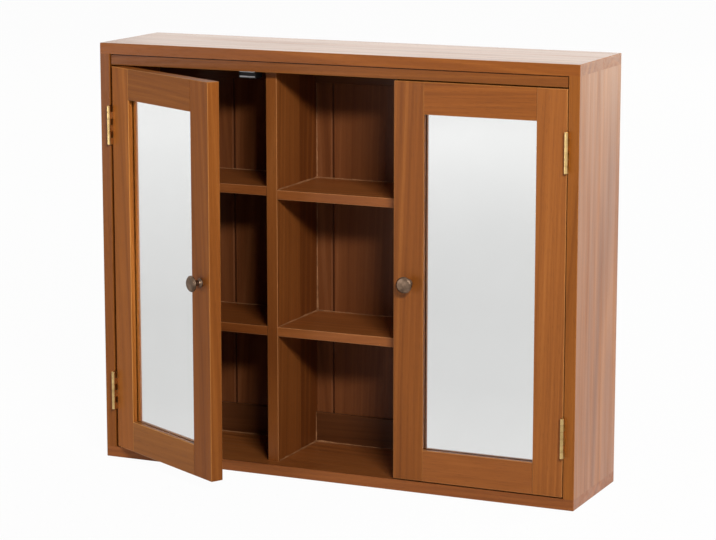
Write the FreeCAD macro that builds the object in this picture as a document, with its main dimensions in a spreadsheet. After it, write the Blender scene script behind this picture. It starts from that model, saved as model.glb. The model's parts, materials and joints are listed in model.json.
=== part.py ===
import FreeCAD, Part
import os
import re
import Sketcher

# A wall-hung wooden mirror cabinet: a box with an open middle bay and two side bays, each closed
# by a framed mirror door on two butt hinges. Millimetres. The wall face is y = 0 and the front
# faces -y, x runs to the right from the middle, and z = 0 is the row of wall screws.

SIZES = {
    # carcass
    "width": 650,
    "height": 545,
    "depth": 152,
    "board_thick": 14,
    "divider_thick": 15,
    "shelf_thick": 12,
    "side_bay": 212.5,          # clear width of a side bay
    "lower_row": 164,           # clear height under the lower shelves
    "middle_row": 164.5,        # clear height between the middle bay's shelves
    "side_shelf_lift": 4,       # the side bays' upper shelves sit this much higher
    "rail_thick": 14,           # front strip under the top board
    "rail_deep": 45,
    "rail_setback": 2,
    "rail_line_wide": 1.5,      # shadow line round the front of that strip
    "rail_line_deep": 4,
    "rear_rail_thick": 18,
    "rear_rail_tall": 40,
    "edge_round": 1,
    "wall_screw_span": 400,
    "wall_hole_dia": 5.5,
    # tongue and groove back
    "back_thick": 8,
    "back_space": 6,            # air between the back boards and the wall
    "back_bite": 6,             # how far the back enters the sides and the rear rails
    "back_play": 0.2,
    "back_pitch": 143.5,        # face width of a full board
    "back_joint_left": 60,      # from the middle to the next joint on the left
    "tongue_long": 5,
    "tongue_thick": 3,
    "joint_bevel": 1.9,
    "joint_open": 1.6,          # open joint in front of a tongue
    # doors
    "door_thick": 17,
    "door_lap": 13,             # how far a shut door covers the divider's front edge
    "door_gap": 1.5,            # above and below a door
    "hinge_gap": 1,             # between a door and the side
    "stop_gap": 3,              # between a shut door and the dividers
    "hinge_stile_wide": 39,
    "lock_stile_wide": 40,
    "door_rail_tall": 40,
    "lip_thick": 6,             # wood in front of the mirror
    "rebate_wide": 8,
    "mirror_thick": 4,
    "backing_thick": 3,
    "bead_wide": 8,
    "pane_play": 0.5,
    "left_door_open": 29.5,     # degrees
    "right_door_open": 0,
    # hinges
    "hinge_long": 50,
    "hinge_inset": 75.5,        # middle of a hinge from the end of the door
    "leaf_thick": 1.5,
    "leaf_bite": 12,            # width of a leaf in the wood
    "leaf_screw_in": 6.5,       # from the front of the wood to the screws
    "leaf_screw_step": 17,
    "pin_dia": 2,
    "pin_play": 0.05,
    "knuckle_gap": 0.4,
    "knuckle_clear": 2.5,
    "mortise_play": 0.1,
    # countersunk wood screws
    "screw_head_dia": 5.4,
    "screw_dia": 2.8,
    "screw_cover": 4,           # wood left beyond the tip in a carcass board
    "screw_play": 0.1,
    "slot_wide": 0.8,
    "slot_deep": 0.5,
    # dowels
    "dowel_dia": 6,
    "dowel_long": 22,
    "dowel_web": 2,             # wood left between two dowels that meet in a divider
    "dowel_play": 0.1,
    "dowel_chamfer": 0.8,
    "dowel_inset": 25,
    "rail_dowel_in": 8,
    "rear_dowel_in": 10,
    "rear_dowel_step": 16,
    "door_dowel_cover": 5,      # middle of a dowel from the mirror rebate
    "door_dowel_step": 13,
    # magnetic catches
    "catch_wide": 24,
    "catch_deep": 18,
    "catch_tall": 10.5,
    "catch_offset": 25.5,       # middle of a catch from the divider
    "catch_gap": 0.4,
    "case_wall": 1.2,
    "ear_wide": 9,
    "ear_deep": 12,
    "ear_thick": 2.5,
    "pole_thick": 1.5,
    "pole_proud": 0.6,
    "magnet_setback": 1,
    "catch_play": 0.1,
    "strike_thick": 1.5,
    "strike_tall": 10,
    "strike_drop": 1,           # from the top of the door
    "strike_screw_step": 16,
    # knobs
    "knob_dia": 20.5,
    "knob_long": 16.5,
    "knob_head_thick": 3.6,
    "knob_under": 3.6,          # length of the cone under the head
    "knob_bevel": 1.8,
    "knob_crown": 0.4,
    "knob_neck_dia": 7.5,
    "knob_base_dia": 11.5,
    "knob_base_thick": 1.2,
    "knob_flare": 2.6,
    "knob_round": 0.6,
    "knob_neck_round": 3,
    "knob_bore": 10,
    "knob_screw_dia": 4,
    "knob_screw_head_dia": 8,
    "knob_screw_head_tall": 2.2,
    "knob_screw_play": 0.2,
}

BACK_BOARDS = 5
KNUCKLES = 6
LEAF_SCREWS = 3
HANDS = {"left": 1, "right": -1}
AXES = {"x": (1, 0, 0), "y": (0, 1, 0), "z": (0, 0, 1)}

# places in the cabinet, worked out from the sizes
TOP_IN = "(rear_rail_tall / 2)"
TOP = f"({TOP_IN} + board_thick)"
FLOOR = f"({TOP} - height)"
FLOOR_IN = f"({FLOOR} + board_thick)"
SIDE_IN = "(width / 2 - board_thick)"
DIVIDER_OUT = f"({SIDE_IN} - side_bay)"
DIVIDER_IN = f"({DIVIDER_OUT} - divider_thick)"
INNER_FRONT = "(door_thick + stop_gap - depth)"
BACK_FACE = "(-back_space - back_thick)"
RAIL_UNDER = f"({TOP_IN} - rail_thick)"
RAIL_FRONT = "(rail_setback - depth)"
RAIL_BACK = f"({RAIL_FRONT} + rail_deep)"
HANGING_UNDER = f"({TOP_IN} - rear_rail_tall)"
LOWER_RAIL_TOP = f"({FLOOR_IN} + rear_rail_tall)"
BACK_LOW = f"({LOWER_RAIL_TOP} - back_bite)"
BACK_HIGH = f"({HANGING_UNDER} + back_bite)"
BAYS = {
    "left": (f"-{SIDE_IN}", f"-{DIVIDER_OUT}"),
    "middle": (f"-{DIVIDER_IN}", DIVIDER_IN),
    "right": (DIVIDER_OUT, SIDE_IN),
}

# places in a door, from its hinge pin: across to the free edge, and back from the pin
PIN_X = f"({SIDE_IN} - hinge_gap / 2)"
KNUCKLE_RADIUS = "(pin_dia / 2 + leaf_thick)"
DOOR_FRONT = f"({KNUCKLE_RADIUS} + knuckle_clear)"
DOOR_BACK = f"({DOOR_FRONT} + door_thick)"
DOOR_EDGE = "(hinge_gap / 2)"
DOOR_FREE = "(side_bay + door_lap - hinge_gap / 2)"
DOOR_TOP = f"({RAIL_UNDER} - door_gap)"
DOOR_BOTTOM = f"({FLOOR_IN} + door_gap)"
STILE_IN = f"({DOOR_EDGE} + hinge_stile_wide)"
LOCK_IN = f"({DOOR_FREE} - lock_stile_wide)"
PANE_LOW = f"({STILE_IN} - rebate_wide)"
PANE_HIGH = f"({LOCK_IN} + rebate_wide)"
PANE_BOTTOM = f"({DOOR_BOTTOM} + door_rail_tall - rebate_wide)"
PANE_TOP = f"({DOOR_TOP} - door_rail_tall + rebate_wide)"
MIRROR_FACE = f"({DOOR_FRONT} + lip_thick)"
MIRROR_BACK = f"({MIRROR_FACE} + mirror_thick)"
BACKING_BACK = f"({MIRROR_BACK} + backing_thick)"
HINGES = {"upper": f"({DOOR_TOP} - hinge_inset)", "lower": f"({DOOR_BOTTOM} + hinge_inset)"}
KNUCKLE_LONG = f"(hinge_long / {KNUCKLES})"
CATCH_X = f"({DIVIDER_OUT} + catch_offset)"
CATCH_FACE = "(door_thick + strike_thick + catch_gap + pole_proud - depth)"
STRIKE_U = f"({PIN_X} - {CATCH_X})"
STRIKE_TOP = f"({DOOR_TOP} - strike_drop)"

SCREW_LONG = "(board_thick - screw_cover)"
DOWEL_BITE = "((divider_thick - dowel_web) / 2)"

doc = FreeCAD.newDocument("mirror_cabinet")
sheet = doc.addObject("Spreadsheet::Sheet", "sizes")
for row, (alias, value) in enumerate(SIZES.items(), 1):
    sheet.set(f"A{row}", alias)
    sheet.set(f"B{row}", str(value))
    sheet.setAlias(f"B{row}", alias)
doc.recompute()

pieces = {}


# helpers

def bind(thing, prop, text):
    """Tie a property to the sheet: each size named in the text becomes a cell of the sheet."""
    words = re.compile(r"[a-z]\w*")
    named = words.sub(lambda word: f"sizes.{word[0]}" if word[0] in SIZES else word[0], text)
    thing.setExpression(prop, named)


def put(thing, spot, toward=(0, 0, 1)):
    """Stand a thing on a spot, with its own z axis turned towards a direction."""
    turn = FreeCAD.Rotation(FreeCAD.Vector(0, 0, 1), FreeCAD.Vector(*toward))
    thing.Placement = FreeCAD.Placement(FreeCAD.Vector(), turn)
    for axis, text in zip("xyz", spot):
        bind(thing, f"Placement.Base.{axis}", text)
    return thing


def outline(body, points, role="XY_Plane"):
    """Draw a closed outline of straight lines whose corners are tied to the sheet."""
    sketch = body.newObject("Sketcher::SketchObject", f"{body.Name}_outline")
    plane = next(part for part in body.Origin.OriginFeatures if part.Role == role)
    sketch.AttachmentSupport = (plane, [""])
    sketch.MapMode = "FlatFace"
    corners = [FreeCAD.Vector(index, index * index, 0) for index in range(len(points))]
    for start, end in zip(corners, corners[1:] + corners[:1]):
        sketch.addGeometry(Part.LineSegment(start, end), False)
    for index, corner in enumerate(points):
        following = (index + 1) % len(points)
        sketch.addConstraint(Sketcher.Constraint("Coincident", index, 2, following, 1))
        for kind, text in zip(("DistanceX", "DistanceY"), corner):
            number = sketch.addConstraint(Sketcher.Constraint(kind, -1, 1, index, 1, 1.0))
            bind(sketch, f"Constraints[{number}]", text)
    return sketch


def padded(name, points, spot, tall):
    """Make a body by padding an outline upwards from a spot."""
    body = doc.addObject("PartDesign::Body", name)
    pad = body.newObject("PartDesign::Pad", f"{name}_pad")
    pad.Profile = outline(body, points)
    bind(pad, "Length", tall)
    return put(body, spot)


def turned(name, points):
    """Make a body by turning an outline of (radius, height) points about the z axis."""
    body = doc.addObject("PartDesign::Body", name)
    sketch = outline(body, points, "XZ_Plane")
    turning = body.newObject("PartDesign::Revolution", f"{name}_turning")
    turning.Profile = sketch
    turning.ReferenceAxis = (sketch, ["V_Axis"])
    return body


def rounded(body, radius, wanted):
    """Round the edges of a body that a test picks out."""
    doc.recompute()
    last = body.Tip
    names = [f"Edge{number}" for number, edge in enumerate(last.Shape.Edges, 1) if wanted(edge)]
    fillet = body.newObject("PartDesign::Fillet", f"{body.Name}_round")
    fillet.Base = (last, names)
    bind(fillet, "Radius", radius)
    return body


def runs_along(axes, front_only=False):
    """Pick the straight edges that run along the axes, all of them or those of the front face."""
    def wanted(edge):
        way = edge.tangentAt(edge.FirstParameter)
        along = any(abs(way.dot(FreeCAD.Vector(*AXES[axis]))) > 0.99 for axis in axes)
        return along and (not front_only or edge.BoundBox.YMax < 0.001)
    return wanted


def clear_of(height):
    """Pick the edges of a body that don't lie at a height of it."""
    def wanted(edge):
        return max(abs(edge.BoundBox.ZMin - height), abs(edge.BoundBox.ZMax - height)) > 0.001
    return wanted


def plank(name, x, y, z, round_along="", front_only=False):
    """Make a board between low and high places on each axis, with eased edges."""
    wide, deep, tall = (f"{high} - ({low})" for low, high in (x, y, z))
    points = [("0", "0"), (wide, "0"), (wide, deep), ("0", deep)]
    body = padded(name, points, (x[0], y[0], z[0]), tall)
    if round_along:
        rounded(body, "edge_round", runs_along(round_along, front_only))
    return body


def box(name, x, y, z):
    """Make a plain block between low and high places on each axis."""
    block = doc.addObject("Part::Box", name)
    for prop, (low, high) in zip(("Length", "Width", "Height"), (x, y, z)):
        bind(block, prop, f"{high} - ({low})")
    return put(block, (x[0], y[0], z[0]))


def rod(name, radius, tall, spot, toward=(0, 0, 1)):
    """Make a plain round rod from a spot towards a direction."""
    cylinder = doc.addObject("Part::Cylinder", name)
    bind(cylinder, "Radius", radius)
    bind(cylinder, "Height", tall)
    return put(cylinder, spot, toward)


def together(name, things):
    """Group things as separate solids of one object."""
    group = doc.addObject("Part::Compound", name)
    group.Links = list(things)
    return group


def joined(name, things):
    """Join things into one solid."""
    fuse = doc.addObject("Part::MultiFuse", name)
    fuse.Shapes = list(things)
    return fuse


def cut(name, base, *tools):
    """Cut tools out of a base."""
    result = doc.addObject("Part::Cut", name)
    result.Base = base
    result.Tool = tools[0] if len(tools) == 1 else together(f"{name}_tools", tools)
    return result


def copies(name, shape, spots):
    """Repeat a shape at each (spot, direction)."""
    links = []
    for number, (spot, toward) in enumerate(spots, 1):
        link = doc.addObject("App::Link", f"{name}_{number}")
        link.LinkedObject = shape
        links.append(put(link, spot, toward))
    return links


def keep(thing, place=None):
    """Hand a finished piece over, moved to its place if it has one."""
    if place:
        bind(thing, "Placement", place)
    pieces[thing.Label] = thing


def span(hand, low, high):
    """Mirror a stretch along x for the right hand."""
    return (low, high) if hand > 0 else (f"-({high})", f"-({low})")


# dowels and screws: one of each shape, with the hole that it needs, repeated where they go

def dowel_shapes():
    """Make a chamfered dowel and its hole, both about their middles."""
    dowel = turned("dowel_shape", [
        ("0", "0"),
        ("dowel_dia / 2 - dowel_chamfer", "0"),
        ("dowel_dia / 2", "dowel_chamfer"),
        ("dowel_dia / 2", "dowel_long - dowel_chamfer"),
        ("dowel_dia / 2 - dowel_chamfer", "dowel_long"),
        ("0", "dowel_long"),
    ])
    put(dowel, ("0", "0", "-dowel_long / 2"))
    half = "(dowel_long / 2 + dowel_play)"
    hole = rod("dowel_hole_shape", "dowel_dia / 2 + dowel_play", f"2 * {half}", ("0", "0", f"-{half}"))
    return together("dowel", [dowel]), together("dowel_hole", [hole])


def screw_shapes():
    """Make a slotted countersunk screw and its seat, both from the face of the head inwards."""
    sink = "((screw_head_dia - screw_dia) / 2)"
    blank = turned("screw_blank", [
        ("0", "0"),
        ("screw_head_dia / 2", "0"),
        ("screw_dia / 2", sink),
        ("screw_dia / 2", f"{SCREW_LONG} - screw_dia"),
        ("0", SCREW_LONG),
    ])
    across = ("-screw_head_dia", "screw_head_dia")
    slot = box("screw_slot", across, ("-slot_wide / 2", "slot_wide / 2"), ("-slot_deep", "slot_deep"))
    seat = turned("screw_seat", [
        ("0", "0"),
        ("screw_head_dia / 2 + screw_play", "0"),
        ("screw_dia / 2 + screw_play", sink),
        ("screw_dia / 2 + screw_play", f"{SCREW_LONG} + screw_play"),
        ("0", f"{SCREW_LONG} + screw_play"),
    ])
    return cut("screw", blank, slot), seat


def dowel_at(contact, toward):
    """Set a dowel across a joint: a short bite in one board, the rest towards the other."""
    shift = f"(dowel_long / 2 - {DOWEL_BITE})"
    return [f"{text} + {way} * {shift}" for text, way in zip(contact, toward)], toward


def shelf_low(bay, level):
    """Give the underside of a shelf."""
    if level == "lower":
        return f"({FLOOR_IN} + lower_row)"
    lift = "0" if bay == "middle" else "side_shelf_lift"
    return f"({FLOOR_IN} + lower_row + shelf_thick + middle_row + {lift})"


def carcass_dowel_spots():
    """List the dowels of the carcass joints."""
    spots = []
    for way in (-1, 1):
        side_x = f"{way} * (width / 2 - board_thick / 2)"
        divider_x = f"{way} * ({DIVIDER_IN} + divider_thick / 2)"
        inner_x = f"{way} * {SIDE_IN}"
        inwards = (-way, 0, 0)
        for y in ("dowel_inset - depth", "-depth / 2", "-dowel_inset"):
            spots.append(dowel_at((side_x, y, TOP_IN), (0, 0, -1)))
            spots.append(dowel_at((side_x, y, FLOOR_IN), (0, 0, 1)))
        for y in (f"{RAIL_BACK} + dowel_inset", "-rear_rail_thick - dowel_inset"):
            spots.append(dowel_at((divider_x, y, TOP_IN), (0, 0, -1)))
        for y in (f"{INNER_FRONT} + dowel_inset", "-rear_rail_thick - dowel_inset"):
            spots.append(dowel_at((divider_x, y, FLOOR_IN), (0, 0, 1)))
        for y in (f"{RAIL_FRONT} + rail_dowel_in", f"{RAIL_BACK} - rail_dowel_in"):
            spots.append(dowel_at((inner_x, y, f"{RAIL_UNDER} + rail_thick / 2"), inwards))
        for step in ("rear_dowel_in", "(rear_dowel_in + rear_dowel_step)"):
            spots.append(dowel_at((inner_x, "-rear_rail_thick / 2", f"{TOP_IN} - {step}"), inwards))
            spots.append(dowel_at((inner_x, "-rear_rail_thick / 2", f"{FLOOR_IN} + {step}"), inwards))
    for bay, ends in BAYS.items():
        for level in ("lower", "upper"):
            middle = f"{shelf_low(bay, level)} + shelf_thick / 2"
            for y in (f"{INNER_FRONT} + dowel_inset", f"{BACK_FACE} - dowel_inset"):
                spots.append(dowel_at((ends[0], y, middle), (1, 0, 0)))
                spots.append(dowel_at((ends[1], y, middle), (-1, 0, 0)))
    return spots


def leaf_screw_heights(middle):
    """List the heights of the screws of one hinge leaf."""
    steps = [number - (LEAF_SCREWS - 1) / 2 for number in range(LEAF_SCREWS)]
    return [f"{middle} + {step} * leaf_screw_step" for step in steps]


def carcass_screw_spots():
    """List the screws of the frame leaves and the catches."""
    spots = []
    for hand in HANDS.values():
        outwards = (-hand, 0, 0)
        for middle in HINGES.values():
            for z in leaf_screw_heights(middle):
                spots.append(((f"{-hand} * {SIDE_IN}", "leaf_screw_in - depth", z), outwards))
        for way in (-1, 1):
            x = f"{-hand} * {CATCH_X} + {way} * (catch_wide + ear_wide) / 2"
            y = f"{CATCH_FACE} + catch_deep / 2"
            spots.append(((x, y, f"{RAIL_UNDER} - ear_thick"), (0, 0, 1)))
    return spots


def door_dowel_spots(hand):
    """List the dowels of a door frame's corners, which sit half in the stile and half in the rail."""
    spots = []
    solid = "(door_rail_tall - rebate_wide - door_dowel_cover)"
    middle = f"{DOOR_FRONT} + door_thick / 2"
    for joint in (STILE_IN, LOCK_IN):
        for step in ("0", "door_dowel_step"):
            for z in (f"{DOOR_TOP} - {solid} + {step}", f"{DOOR_BOTTOM} + {solid} - {step}"):
                spots.append(((f"{hand} * {joint}", middle, z), (1, 0, 0)))
    return spots


def door_screw_spots(hand):
    """List the screws of a door's hinge leaves and strike plate."""
    spots = []
    for middle in HINGES.values():
        for z in leaf_screw_heights(middle):
            spot = (f"{hand} * {DOOR_EDGE}", f"{DOOR_FRONT} + leaf_screw_in", z)
            spots.append((spot, (hand, 0, 0)))
    for way in (-1, 1):
        x = f"{hand} * {STRIKE_U} + {way} * strike_screw_step / 2"
        spot = (x, f"{DOOR_BACK} + strike_thick", f"{STRIKE_TOP} - strike_tall / 2")
        spots.append((spot, (0, -1, 0)))
    return spots


# carcass

def make_carcass(dowel, dowel_hole, screw, screw_seat):
    """Make the boards, rails, shelves and their fasteners, and give back the fasteners' holes."""
    dowels = carcass_dowel_spots()
    screws = carcass_screw_spots()
    keep(together("carcass_dowels", copies("carcass_dowel", dowel, dowels)))
    keep(together("carcass_screws", copies("carcass_screw", screw, screws)))
    holes = together("carcass_holes", [
        *copies("carcass_dowel_hole", dowel_hole, dowels),
        *copies("carcass_screw_seat", screw_seat, screws),
    ])

    whole_wide = ("-width / 2", "width / 2")
    whole_deep = ("-depth", "0")
    top = plank("top_blank", whole_wide, whole_deep, (TOP_IN, TOP))
    keep(cut("top_board", rounded(top, "edge_round", clear_of(0)), holes))
    bottom = plank("bottom_blank", whole_wide, whole_deep, (FLOOR, FLOOR_IN))
    joint_height = float(sheet.get("board_thick"))
    keep(cut("bottom_board", rounded(bottom, "edge_round", clear_of(joint_height)), holes))

    back_pocket = box(
        "back_pocket",
        (f"-{SIDE_IN} - back_bite - back_play", f"{SIDE_IN} + back_bite + back_play"),
        (f"{BACK_FACE} - back_play", "back_play - back_space"),
        (f"{BACK_LOW} - back_play", f"{BACK_HIGH} + back_play"),
    )
    for name, hand in HANDS.items():
        side_x = span(hand, "-width / 2", f"-{SIDE_IN}")
        blank = plank(f"{name}_side_blank", side_x, whole_deep, (FLOOR_IN, TOP_IN), "z")
        mortises = []
        for level, middle in HINGES.items():
            mortises.append(box(
                f"{name}_{level}_side_mortise",
                span(hand, f"-{SIDE_IN} - leaf_thick - mortise_play", f"-{SIDE_IN}"),
                ("-depth", "leaf_bite + mortise_play - depth"),
                (f"{middle} - hinge_long / 2 - mortise_play", f"{middle} + hinge_long / 2 + mortise_play"),
            ))
        keep(cut(f"{name}_side", blank, holes, back_pocket, *mortises))

    between = (f"-{SIDE_IN}", SIDE_IN)
    rail_place = (between, (RAIL_FRONT, RAIL_BACK), (RAIL_UNDER, TOP_IN))
    line_deep = (RAIL_FRONT, f"{RAIL_FRONT} + rail_line_deep")
    shadow_lines = [box("rail_top_line", between, line_deep, (f"{TOP_IN} - rail_line_wide", TOP_IN))]
    for name, hand in HANDS.items():
        end = span(hand, f"-{SIDE_IN}", f"-{SIDE_IN} + rail_line_wide")
        shadow_lines.append(box(f"rail_{name}_line", end, line_deep, (RAIL_UNDER, TOP_IN)))
    top_rail = plank("top_rail_blank", *rail_place, "x", front_only=True)
    keep(cut("top_rail", top_rail, holes, *shadow_lines))

    rear_deep = ("-rear_rail_thick", "0")
    hanging_place = (between, rear_deep, (HANGING_UNDER, TOP_IN))
    lower_place = (between, rear_deep, (FLOOR_IN, LOWER_RAIL_TOP))
    wall_holes = []
    for way in (-1, 1):
        spot = (f"{way} * wall_screw_span / 2", "-rear_rail_thick", "0")
        hole = rod(f"wall_hole_{way + 2}", "wall_hole_dia / 2", "rear_rail_thick", spot, (0, 1, 0))
        wall_holes.append(hole)
    hanging = plank("hanging_blank", *hanging_place, "x", front_only=True)
    keep(cut("hanging_rail", hanging, holes, back_pocket, *wall_holes))
    lower = plank("lower_rear_blank", *lower_place, "x", front_only=True)
    keep(cut("lower_rear_rail", lower, holes, back_pocket))

    rails = [
        box("top_rail_notch", *rail_place),
        box("hanging_notch", *hanging_place),
        box("lower_rear_notch", *lower_place),
    ]
    inner_deep = (INNER_FRONT, BACK_FACE)
    for name, hand in HANDS.items():
        divider_x = span(hand, f"-{DIVIDER_OUT}", f"-{DIVIDER_IN}")
        tall = (FLOOR_IN, TOP_IN)
        blank = plank(f"{name}_divider_blank", divider_x, inner_deep, tall, "z", front_only=True)
        keep(cut(f"{name}_divider", blank, holes, *rails))

    for bay, ends in BAYS.items():
        for level in ("upper", "lower"):
            low = shelf_low(bay, level)
            tall = (low, f"{low} + shelf_thick")
            blank = plank(f"{bay}_{level}_shelf_blank", ends, inner_deep, tall, "x", front_only=True)
            keep(cut(f"{bay}_{level}_shelf", blank, holes))
    return holes


def make_back():
    """Make the back of upright boards, each with its tongue in the next board's groove."""
    middle = BACK_BOARDS // 2
    edges = [f"(-{SIDE_IN} - back_bite)"]
    for number in range(1, BACK_BOARDS):
        edges.append(f"({number - middle} * back_pitch - back_joint_left)")
    edges.append(f"({SIDE_IN} + back_bite)")
    tongue = ("(back_thick - tongue_thick) / 2", "(back_thick + tongue_thick) / 2")
    groove = (f"{tongue[0]} - back_play", f"{tongue[1]} + back_play")
    groove_deep = "(tongue_long + back_play)"
    for number, (low, high) in enumerate(zip(edges, edges[1:]), 1):
        wide = f"({high} - {low})"
        if number > 1:
            left_edge = [
                ("0", "back_thick"),
                ("0", groove[1]),
                (groove_deep, groove[1]),
                (groove_deep, groove[0]),
                ("0", groove[0]),
                ("0", "joint_bevel"),
                ("joint_bevel", "0"),
            ]
        else:
            left_edge = [("0", "back_thick"), ("0", "0")]
        if number == BACK_BOARDS:
            right_edge = [(wide, "0"), (wide, "back_thick")]
        else:
            right_edge = [
                (f"{wide} - joint_bevel - joint_open", "0"),
                (f"{wide} - joint_open", "joint_bevel"),
                (f"{wide} - joint_open", tongue[0]),
                (f"{wide} + tongue_long", tongue[0]),
                (f"{wide} + tongue_long", tongue[1]),
                (wide, tongue[1]),
                (wide, "back_thick"),
            ]
        spot = (low, BACK_FACE, BACK_LOW)
        tall = f"{BACK_HIGH} - {BACK_LOW}"
        keep(padded(f"back_board_{number}", left_edge + right_edge, spot, tall))


def make_catches(holes):
    """Make the magnetic catches that hang under the top rail."""
    poles = []
    magnets = []
    low = f"({RAIL_UNDER} - catch_tall + case_wall)"
    high = f"({RAIL_UNDER} - case_wall)"
    end = f"({CATCH_FACE} + catch_deep - case_wall)"
    for name, hand in HANDS.items():
        middle = f"{-hand} * {CATCH_X}"
        half = "(catch_wide / 2 - case_wall)"
        inside = (f"{middle} - {half}", f"{middle} + {half}")
        close = (f"{inside[0]} + catch_play", f"{inside[1]} - catch_play")
        main = box(
            f"{name}_catch_main",
            (f"{middle} - catch_wide / 2", f"{middle} + catch_wide / 2"),
            (CATCH_FACE, f"{CATCH_FACE} + catch_deep"),
            (f"{RAIL_UNDER} - catch_tall", RAIL_UNDER),
        )
        reach = "(catch_wide / 2 + ear_wide)"
        ears = box(
            f"{name}_catch_ears",
            (f"{middle} - {reach}", f"{middle} + {reach}"),
            (f"{CATCH_FACE} + (catch_deep - ear_deep) / 2", f"{CATCH_FACE} + (catch_deep + ear_deep) / 2"),
            (f"{RAIL_UNDER} - ear_thick", RAIL_UNDER),
        )
        pocket = box(f"{name}_catch_pocket", inside, (CATCH_FACE, end), (low, high))
        shell = joined(f"{name}_catch_shell", [main, ears])
        keep(cut(f"{name}_catch_case", shell, pocket, holes))
        pole_deep = (f"{CATCH_FACE} - pole_proud", f"{end} - catch_play")
        lower_pole = (f"{low} + catch_play", f"{low} + catch_play + pole_thick")
        upper_pole = (f"{high} - catch_play - pole_thick", f"{high} - catch_play")
        poles.append(box(f"{name}_lower_pole", close, pole_deep, lower_pole))
        poles.append(box(f"{name}_upper_pole", close, pole_deep, upper_pole))
        magnets.append(box(
            f"{name}_magnet",
            close,
            (f"{CATCH_FACE} + magnet_setback", f"{end} - catch_play"),
            (f"{lower_pole[1]} + catch_play", f"{upper_pole[0]} - catch_play"),
        ))
    keep(together("catch_poles", poles))
    keep(together("catch_magnets", magnets))


# hinges, in the frame of their pin

def make_leaf(name, hand, way, middle, owner, seats, place):
    """Make one hinge leaf: a plate with every second knuckle, on the frame's or the door's side."""
    foot = f"({middle} - hinge_long / 2)"
    plate = box(
        f"{name}_plate",
        span(hand * way, "hinge_gap / 2", "hinge_gap / 2 + leaf_thick"),
        ("0", f"{DOOR_FRONT} + leaf_bite"),
        (foot, f"{foot} + hinge_long"),
    )
    solids = [plate]
    tools = [rod(f"{name}_bore", "pin_dia / 2 + pin_play", "hinge_long", ("0", "0", foot)), *seats]
    for number in range(KNUCKLES):
        low = f"({foot} + {number} * {KNUCKLE_LONG})"
        if number % 2 == owner:
            spot = ("0", "0", f"{low} + knuckle_gap / 2")
            tall = f"{KNUCKLE_LONG} - knuckle_gap"
            solids.append(rod(f"{name}_knuckle_{number}", KNUCKLE_RADIUS, tall, spot))
        else:
            radius = f"{KNUCKLE_RADIUS} + knuckle_clear"
            tools.append(rod(f"{name}_room_{number}", radius, KNUCKLE_LONG, ("0", "0", low)))
    keep(cut(name, joined(f"{name}_blank", solids), *tools), place)


def make_hinge_frames(screw_seat):
    """Make the leaves that are screwed to the cabinet's sides, and the pins."""
    pins = []
    for name, hand in HANDS.items():
        place = pin_place(hand, "0")
        for level, middle in HINGES.items():
            spots = []
            for z in leaf_screw_heights(middle):
                spot = (f"{-hand} * hinge_gap / 2", f"{DOOR_FRONT} + leaf_screw_in", z)
                spots.append((spot, (-hand, 0, 0)))
            seats = copies(f"{name}_{level}_frame_seat", screw_seat, spots)
            make_leaf(f"{name}_{level}_frame_leaf", hand, -1, middle, 1, seats, place)
            spot = (f"{-hand} * {PIN_X}", f"-depth - {DOOR_FRONT}", f"{middle} - hinge_long / 2")
            pins.append(rod(f"{name}_{level}_pin", "pin_dia / 2", "hinge_long", spot))
    keep(together("hinge_pins", pins))


def pin_place(hand, angle):
    """Give the place of a hinge pin, turned by the door's opening angle."""
    spot = f"vector({-hand} * {PIN_X}; -depth - {DOOR_FRONT}; 0)"
    return f"placement({spot}; rotation(vector(0; 0; 1); {-hand} * {angle}))"


# doors, in the frame of their hinge pin

def make_knob(name, hand, place):
    """Make the turned knob and the screw that holds it from behind."""
    neck_start = "(knob_base_thick + knob_flare)"
    neck_end = "(knob_long - knob_head_thick - knob_under)"
    blank = turned(f"{name}_knob_blank", [
        ("0", "0"),
        ("knob_base_dia / 2", "0"),
        ("knob_base_dia / 2", "knob_base_thick"),
        ("knob_neck_dia / 2", neck_start),
        ("knob_neck_dia / 2", neck_end),
        ("knob_dia / 2", "knob_long - knob_head_thick"),
        ("knob_dia / 2", "knob_long - knob_crown - knob_bevel"),
        ("knob_dia / 2 - knob_bevel", "knob_long - knob_crown"),
        ("0", "knob_long"),
    ])
    neck = float(sheet.get("knob_neck_dia")) / 2
    rounded(blank, "knob_neck_round", lambda edge: is_ring(edge) and abs(edge.Curve.Radius - neck) < 0.001)
    wide = float(sheet.get("knob_dia")) / 2 - float(sheet.get("knob_bevel"))
    rounded(blank, "knob_round", lambda edge: is_ring(edge) and edge.Curve.Radius > wide - 0.001)
    spot = (f"{hand} * ({DOOR_FREE} - lock_stile_wide / 2)", DOOR_FRONT, f"({DOOR_TOP} + {DOOR_BOTTOM}) / 2")
    put(blank, spot, (0, -1, 0))
    bore = rod(f"{name}_knob_bore", "knob_screw_dia / 2 + knob_screw_play", "knob_bore", spot, (0, -1, 0))
    keep(cut(f"{name}_knob", blank, bore), place)

    shank = "knob_screw_dia / 2"
    tip = "knob_screw_head_tall + door_thick + knob_bore - knob_screw_dia / 2"
    screw = turned(f"{name}_knob_screw_turned", [
        ("0", "0"),
        ("knob_screw_head_dia / 2", "0"),
        ("knob_screw_head_dia / 2", "knob_screw_head_tall"),
        (shank, "knob_screw_head_tall"),
        (shank, tip),
        ("0", tip),
    ])
    put(screw, (spot[0], f"{DOOR_BACK} + knob_screw_head_tall", spot[2]), (0, -1, 0))
    keep(together(f"{name}_knob_screw", [screw]), place)
    radius = "knob_screw_dia / 2 + knob_screw_play"
    return rod(f"{name}_knob_hole", radius, "door_thick", spot, (0, 1, 0))


def is_ring(edge):
    """Say whether an edge is a full circle."""
    return edge.Curve.TypeId == "Part::GeomCircle" and edge.isClosed()


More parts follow.
